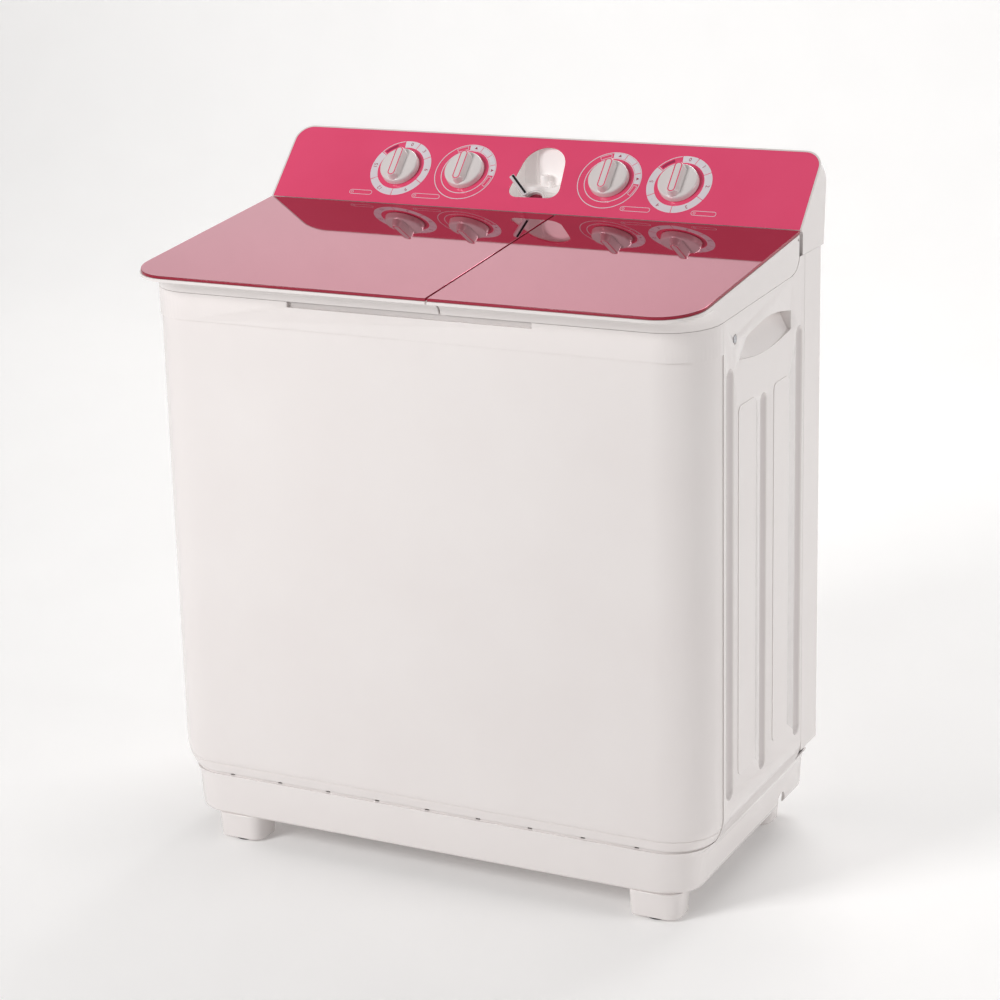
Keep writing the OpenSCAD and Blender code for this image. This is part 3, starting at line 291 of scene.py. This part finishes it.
# The grooves down the side panels are moulded with a finer, duller grain than the walls, and are
# coloured darker as painted shade in the recesses
GROOVE_Y, GROOVE_HALF, GROOVE_TOP = (-116.5, 4.5, 141), 15, 764
GROOVE_INSIDE, GROOVE_OUTSIDE = 410, 419.6
for name, side in (("side_panel_right", 1), ("side_panel_left", -1)):
    second_material(name, GROOVE_PAINTED_SHADE, lambda c, n, side=side: n.x * side > 0.2
                    and GROOVE_INSIDE < c.x * side < GROOVE_OUTSIDE and c.z < GROOVE_TOP
                    and min(abs(c.y - g) for g in GROOVE_Y) < GROOVE_HALF)

# Tinted panes: a mirror-like face and dark red ground edges
for name in ("wash_lid_glass", "spin_lid_glass"):
    pane = polished(name, GLASS_EDGE_RADIUS, GLASS)
    pane.data.materials.append(EDGE)
    for p in pane.data.polygons:
        p.material_index = 0 if p.normal.z > 0.9 else 1


# ---------------------------------------------------------------- printed dials on the fascia

def turned(cx, ct, r, degrees):
    """Panel x and t at a clockwise angle from the top of a circle."""
    a = math.radians(degrees)
    return cx + r * math.sin(a), ct + r * math.cos(a)


class Print:
    """Thin raised ink: flat shapes on the fascia, each between two heights off the panel."""

    def __init__(self):
        self.v, self.f = [], []

    def layers(self, points, low, high):
        """Adds an outline at both heights and returns the number of its first corner."""
        k = len(self.v)
        self.v += [on_panel(x, t, h) for h in (low, high) for x, t in points]
        return k

    def prism(self, points, low, high):
        k, n = self.layers(points, low, high), len(points)
        self.f.append(tuple(range(k + n - 1, k - 1, -1)))
        self.f.append(tuple(range(k + n, k + 2 * n)))
        self.f += [(k + i, k + (i + 1) % n, k + n + (i + 1) % n, k + n + i) for i in range(n)]

    def closed_band(self, outer, inner, low=-0.1, high=0.16):
        """Band between two closed outlines with equal numbers of points."""
        k, n = self.layers(outer + inner, low, high), len(outer)
        for i in range(n):
            j = (i + 1) % n
            self.f += [(k + i, k + j, k + 2 * n + j, k + 2 * n + i),
                       (k + n + j, k + n + i, k + 3 * n + i, k + 3 * n + j),
                       (k + 2 * n + i, k + 2 * n + j, k + 3 * n + j, k + 3 * n + i),
                       (k + j, k + i, k + n + i, k + n + j)]

    def sector(self, cx, ct, r0, r1, a0, a1, low=-0.1, high=0.16, step=3.0):
        """Part of a ring between two radii and two clockwise angles in degrees."""
        n = max(2, int(abs(a1 - a0) / step))
        angles = [a0 + (a1 - a0) * i / n for i in range(n + 1)]
        points = [turned(cx, ct, r1, a) for a in angles]
        points += [turned(cx, ct, r0, a) for a in reversed(angles)]
        k, m = self.layers(points, low, high), len(points)
        for i in range(n):
            a, b, c, d = i, i + 1, m - 2 - i, m - 1 - i
            self.f += [(k + m + a, k + m + d, k + m + c, k + m + b), (k + a, k + b, k + c, k + d)]
        self.f += [(k + i, k + m + i, k + m + (i + 1) % m, k + (i + 1) % m) for i in range(m)]

    def circle(self, cx, ct, r, width, sides=96):
        def ring(q):
            angles = [2 * math.pi * i / sides for i in range(sides)]
            return [(cx + q * math.cos(a), ct + q * math.sin(a)) for a in angles]
        self.closed_band(ring(r), ring(r - width))

    def make(self, name, mat, body="cabinet", slot="white_plastic"):
        return make(name, self.v, self.f, mat, body, smooth=30)


def stadium(cx, ct, half, r, n=12):
    """Outline of an upright bar with round ends."""
    arc = [math.pi * i / n for i in range(n + 1)]
    top = [(cx + r * math.cos(a), ct + half + r * math.sin(a)) for a in arc]
    low = [(cx - r * math.cos(a), ct - half - r * math.sin(a)) for a in arc]
    return top + low


def pill(cx, ct, half, r, n=8):
    """Outline of a bar with round ends that lies along the panel."""
    arc = [-math.pi / 2 + math.pi * i / n for i in range(n + 1)]
    right = [(cx + half + r * math.cos(a), ct + r * math.sin(a)) for a in arc]
    left = [(cx - half - r * math.cos(a), ct - r * math.sin(a)) for a in arc]
    return right + left


DIAL_T = 63.0
TIMER_X, SELECTOR_X = 223.0, 115.5
# Radii of the printed ring of a timer, and of the line its marks and figures are centred on
TIMER_IN, TIMER_OUT, MARK_R = 37.0, 48.5, 42.8
# Radii of the two circles of a selector, of the fields between them, and of the hollow fields
RING_IN, RING_OUT, RING_WIDTH = 38.2, 48.5, 1.2
FIELD_IN, FIELD_OUT = 38.6, 47.0
HOLLOW_IN, HOLLOW_OUT, HOLLOW_LINE, HOLLOW_END = 39.8, 46.0, 0.7, 0.9
# Clockwise angles at which the fields meet, and the bare strip left at each side of a meeting
TIMER_CUTS = [-9, 22, 62, 120, 180, 242, 304]
SELECT_CUTS = [-8, 20, 46, 71, 96]
BARE = 0.7
ARROW = [(-2.6, -1.8), (2.6, -1.8), (0.0, 2.4)]
CAPTION_T = 16.5
CAPTIONS = ((-274.0, 15.0), (-165.0, 19.0), (169.0, 19.0), (273.0, 15.0))

light, ink = Print(), Print()
for cx in (-TIMER_X, TIMER_X):
    for a, b in zip(TIMER_CUTS, TIMER_CUTS[1:]):
        light.sector(cx, DIAL_T, TIMER_IN, TIMER_OUT, a + BARE, b - BARE)
    # Open arrow field between the last figure and the pointer
    light.sector(cx, DIAL_T, TIMER_OUT - 1.1, TIMER_OUT, 304, 350)
    light.sector(cx, DIAL_T, TIMER_IN, TIMER_IN + 1.1, 304, 338)
    light.sector(cx, DIAL_T, TIMER_IN, TIMER_OUT, 304.8, 306.2)
    ink.sector(cx, DIAL_T, 40.6, 45.0, 309, 336)
for cx in (-SELECTOR_X, SELECTOR_X):
    light.circle(cx, DIAL_T, RING_OUT, RING_WIDTH)
    light.circle(cx, DIAL_T, RING_IN, RING_WIDTH)
    for a, b in zip(SELECT_CUTS, SELECT_CUTS[1:]):
        light.sector(cx, DIAL_T, FIELD_IN, FIELD_OUT, a + BARE, b - BARE)
    # A small arrowhead that points outward in the first and the last field
    for degrees in (6.0, 83.5):
        s, c = math.sin(math.radians(degrees)), math.cos(math.radians(degrees))
        x, t = turned(cx, DIAL_T, MARK_R, degrees)
        ink.prism([(x + u * c + v * s, t - u * s + v * c) for u, v in ARROW], 0.0, 0.22)
    # Two fields drawn as outlines only
    for a, b in ((99.0, 122.0), (326.0, 349.0)):
        for r in (HOLLOW_IN, HOLLOW_OUT - HOLLOW_LINE):
            light.sector(cx, DIAL_T, r, r + HOLLOW_LINE, a, b)
        for end in (a, b - HOLLOW_END):
            light.sector(cx, DIAL_T, HOLLOW_IN, HOLLOW_OUT, end, end + HOLLOW_END)
# Empty caption frames under the dials, each with a small ring at its left end
for cx, half in CAPTIONS:
    light.closed_band(pill(cx, CAPTION_T, half, 4.0), pill(cx, CAPTION_T, half, 3.3))
    left = cx - half + 1.0
    light.closed_band(pill(left, CAPTION_T, 0.01, 2.0), pill(left, CAPTION_T, 0.01, 1.4))
light.make("dial_prints", PRINT)
ink.make("dial_ink_marks", INK)

FIGURE_SIZE, FIGURE_DEPTH, FIGURE_HEIGHT = 8.2, 0.1, 0.17
WASH_MINUTES = ("0", "3", "6", "9", "12", "15")
SPIN_MINUTES = ("0", "1", "2", "3", "4", "5")


def figure(word, cx, degrees):
    """One timer figure as a solid text object, its top toward the rim of the dial."""
    cu = bpy.data.curves.new("figure", "FONT")
    cu.body = word
    cu.size = FIGURE_SIZE * MM
    cu.extrude = FIGURE_DEPTH * MM
    cu.align_x = "CENTER"
    cu.align_y = "CENTER"
    o = bpy.data.objects.new("figure", cu)
    coll.objects.link(o)
    th = math.radians(degrees)
    xa = Vector((math.cos(th), 0, 0)) + (on_panel(0, -math.sin(th) / MM) - on_panel(0, 0))
    za = on_panel(0, 0, 1 / MM) - on_panel(0, 0)
    ya = za.cross(xa)
    m = Matrix((xa.normalized(), ya.normalized(), za.normalized())).transposed().to_4x4()
    m.translation = on_panel(*turned(cx, DIAL_T, MARK_R, degrees), FIGURE_HEIGHT)
    o.matrix_world = m
    return o


def numerals():
    """Timer figures, minutes of washing on the left and of spinning on the right, as one mesh."""
    parts = [figure(word, cx, (a + b) / 2)
             for cx, words in ((-TIMER_X, WASH_MINUTES), (TIMER_X, SPIN_MINUTES))
             for word, a, b in zip(words, TIMER_CUTS, TIMER_CUTS[1:])]
    bpy.context.view_layer.update()
    dg = bpy.context.evaluated_depsgraph_get()
    bm = bmesh.new()
    for o in parts:
        me = bpy.data.meshes.new_from_object(o.evaluated_get(dg))
        me.transform(o.matrix_world)
        bm.from_mesh(me)
    for o in parts:
        bpy.data.objects.remove(o)
    bmesh.ops.remove_doubles(bm, verts=bm.verts, dist=WELD)
    me = bpy.data.meshes.new("dial_numbers")
    bm.to_mesh(me)
    bm.free()
    me.materials.append(INK)
    o = bpy.data.objects.new("dial_numbers", me)
    coll.objects.link(o)
    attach(o, "cabinet")


numerals()


# ---------------------------------------------------------------- behind the window

def lathe(name, profile, foot, mat, body="cabinet", sides=48):
    """Round piece from (radius, height) pairs about an upright axis."""
    verts, faces = [], []
    for r, h in profile:
        for i in range(sides):
            a = 2 * math.pi * i / sides
            verts.append(Vector((foot[0] + r * math.cos(a), foot[1] + r * math.sin(a),
                                 foot[2] + h)) * MM)
    for j in range(len(profile) - 1):
        for i in range(sides):
            k = (i + 1) % sides
            faces.append((j * sides + i, j * sides + k, (j + 1) * sides + k, (j + 1) * sides + i))
    faces += [tuple(range(sides)), tuple((len(profile) - 1) * sides + i for i in range(sides))]
    return make(name, verts, faces, mat, body)


def block(name, lo, hi, mat, body="cabinet"):
    """Moulded block between two corners with rounded edges."""
    verts = [Vector((x, y, z)) * MM
             for z in (lo[2], hi[2]) for y in (lo[1], hi[1]) for x in (lo[0], hi[0])]
    m = make(name, verts, BOX_FACES, mat, body).modifiers.new("round", "BEVEL")
    m.width = 0.8 * MM
    m.segments = 3


# A shelf across the chamber, a rib up its back wall, and the inlet's cap and a post on the shelf,
# all in the chamber plastic with its painted glow
SHELF_TOP, CHAMBER_BACK = 917, 235.4
block("window_shelf", (-39.4, 208, 909.3), (53.4, CHAMBER_BACK, SHELF_TOP), SHELL_PAINTED_GLOW)
block("window_rib", (-20.5, 232, 916), (-17.0, CHAMBER_BACK, 972), SHELL_PAINTED_GLOW)
lathe("inlet_cap", [(7.0, -0.5), (7.0, 13.5), (6.6, 14.6), (5.6, 15.2), (2.2, 15.2), (2.2, 14.2),
                    (1.9, 14.2)], (-2, 226, SHELF_TOP), SHELL_PAINTED_GLOW)
lathe("inlet_post", [(4.2, -0.5), (4.2, 7.0), (3.6, 7.8), (1.5, 7.8)], (11, 217, SHELF_TOP), SHELL_PAINTED_GLOW)


def lever_painted_reflection_band():
    """Dark band on the bright face of the diverter lever: a painted dark reflection over half its
    face.
    """
    # The lever's foot and its run in the panel frame
    foot = Vector((CUP_X - 15, CUP_T + 6, -3))
    run = Vector((-19, 16, 22))
    z = run.normalized()
    y = Vector((0, 0, 1)).cross(z).normalized()
    x = y.cross(z)
    verts = []
    for along in (0.5, run.length - 1.0):
        for across in (-3.1, 0.1):
            for out in (-2.85, -2.4):
                verts.append(on_panel(*(foot + x * out + y * across + z * along)))
    make("lever_painted_reflection_band", verts, BOX_FACES, LEVER_DARK_REFLECTION_PAINT,
         body_of["diverter_lever"])


lever_painted_reflection_band()


# ---------------------------------------------------------------- pink line on each knob's grip

GRIP_T, GRIP_HALF = DIAL_T - 1.25, 19.25
for name, cx, body in (("wash_timer", -TIMER_X, "wash_timer_dial"),
                       ("wash_selector", -SELECTOR_X, "wash_selector_dial"),
                       ("drain", SELECTOR_X, "drain_dial"),
                       ("spin_timer", TIMER_X, "spin_timer_dial")):
    line = Print()
    line.closed_band(stadium(cx, GRIP_T, GRIP_HALF, 5.65), stadium(cx, GRIP_T, GRIP_HALF, 4.1),
                     20.6, 20.95)
    line.make(name + "_grip_line", PINK, body, "pink_panel")


# ---------------------------------------------------------------- stage, light and camera

# The stage is in metres: a floor that turns up into a wall behind the washer
FLOOR_FRONT, FLOOR_END, SWEEP, WALL_TOP, HALF_WIDTH, SWEEP_STEPS = -6.0, 2.6, 1.2, 6.0, 7.0, 16


def stage_floor():
    profile = [(FLOOR_FRONT, 0.0), (FLOOR_END, 0.0)]
    for i in range(1, SWEEP_STEPS + 1):
        a = i * math.pi / (2 * SWEEP_STEPS)
        profile.append((FLOOR_END + SWEEP * math.sin(a), SWEEP - SWEEP * math.cos(a)))
    profile.append((FLOOR_END + SWEEP, WALL_TOP))
    verts = [(x, y, z) for y, z in profile for x in (-HALF_WIDTH, HALF_WIDTH)]
    faces = [(2 * i, 2 * i + 1, 2 * i + 3, 2 * i + 2) for i in range(len(profile) - 1)]
    me = bpy.data.meshes.new("backdrop")
    me.from_pydata(verts, [], faces)
    o = bpy.data.objects.new("backdrop", me)
    coll.objects.link(o)
    me.materials.append(surface("backdrop", (0.92, 0.915, 0.91), (0.94, 0.935, 0.93), (0.6, 0.7),
                                peel=0.02, glow=0.12))
    shade(o, 40)


stage_floor()


def area(name, loc, target, size, power):
    """A rectangular soft light, in metres and watts, that faces its target."""
    d = bpy.data.lights.new(name, "AREA")
    d.shape = "RECTANGLE"
    d.size, d.size_y = size
    d.energy = power
    o = bpy.data.objects.new(name, d)
    o.location = loc
    o.rotation_euler = (Vector(target) - Vector(loc)).to_track_quat("-Z", "Y").to_euler()
    coll.objects.link(o)


area("key", (-1.9, -3.3, 2.5), (0, 0, 0.5), (1.4, 1.4), 93)
area("fill", (3.4, 0.1, 1.6), (0.4, 0, 0.5), (1.2, 1.6), 25)
area("top", (0.3, 2.5, 3.3), (0, 0, 0.9), (2.4, 1.2), 48)
area("wall_wash", (-2.6, 1.9, 3.4), (-2.6, 3.8, 2.3), (3.4, 0.8), 36)

world = bpy.data.worlds.new("studio")
world.use_nodes = True
background = world.node_tree.nodes["Background"]
background.inputs["Color"].default_value = (1.0, 0.985, 0.98, 1)
background.inputs["Strength"].default_value = 0.26
scene.world = world
scene.view_settings.view_transform = "Standard"

# The camera looks from the front and right, a little down, and leans slightly
CAMERA_AT = (1.5995, -3.0954, 1.5462)
yaw, pitch, roll = math.radians(26.7), math.radians(-15.74), math.radians(-1.36)
forward = Vector((-math.sin(yaw) * math.cos(pitch), math.cos(yaw) * math.cos(pitch),
                  math.sin(pitch)))
right = forward.cross(Vector((0, 0, 1))).normalized()
up = right.cross(forward)
leaned_right = right * math.cos(roll) + up * math.sin(roll)
leaned_up = -right * math.sin(roll) + up * math.cos(roll)
lens = bpy.data.cameras.new("camera")
lens.lens = 91.88
lens.sensor_width = 36
lens.shift_x = -0.0097
lens.shift_y = -0.0431
camera = bpy.data.objects.new("camera", lens)
pose = Matrix((leaned_right, leaned_up, -forward)).transposed().to_4x4()
pose.translation = Vector(CAMERA_AT)
camera.matrix_world = pose
coll.objects.link(camera)
scene.camera = camera
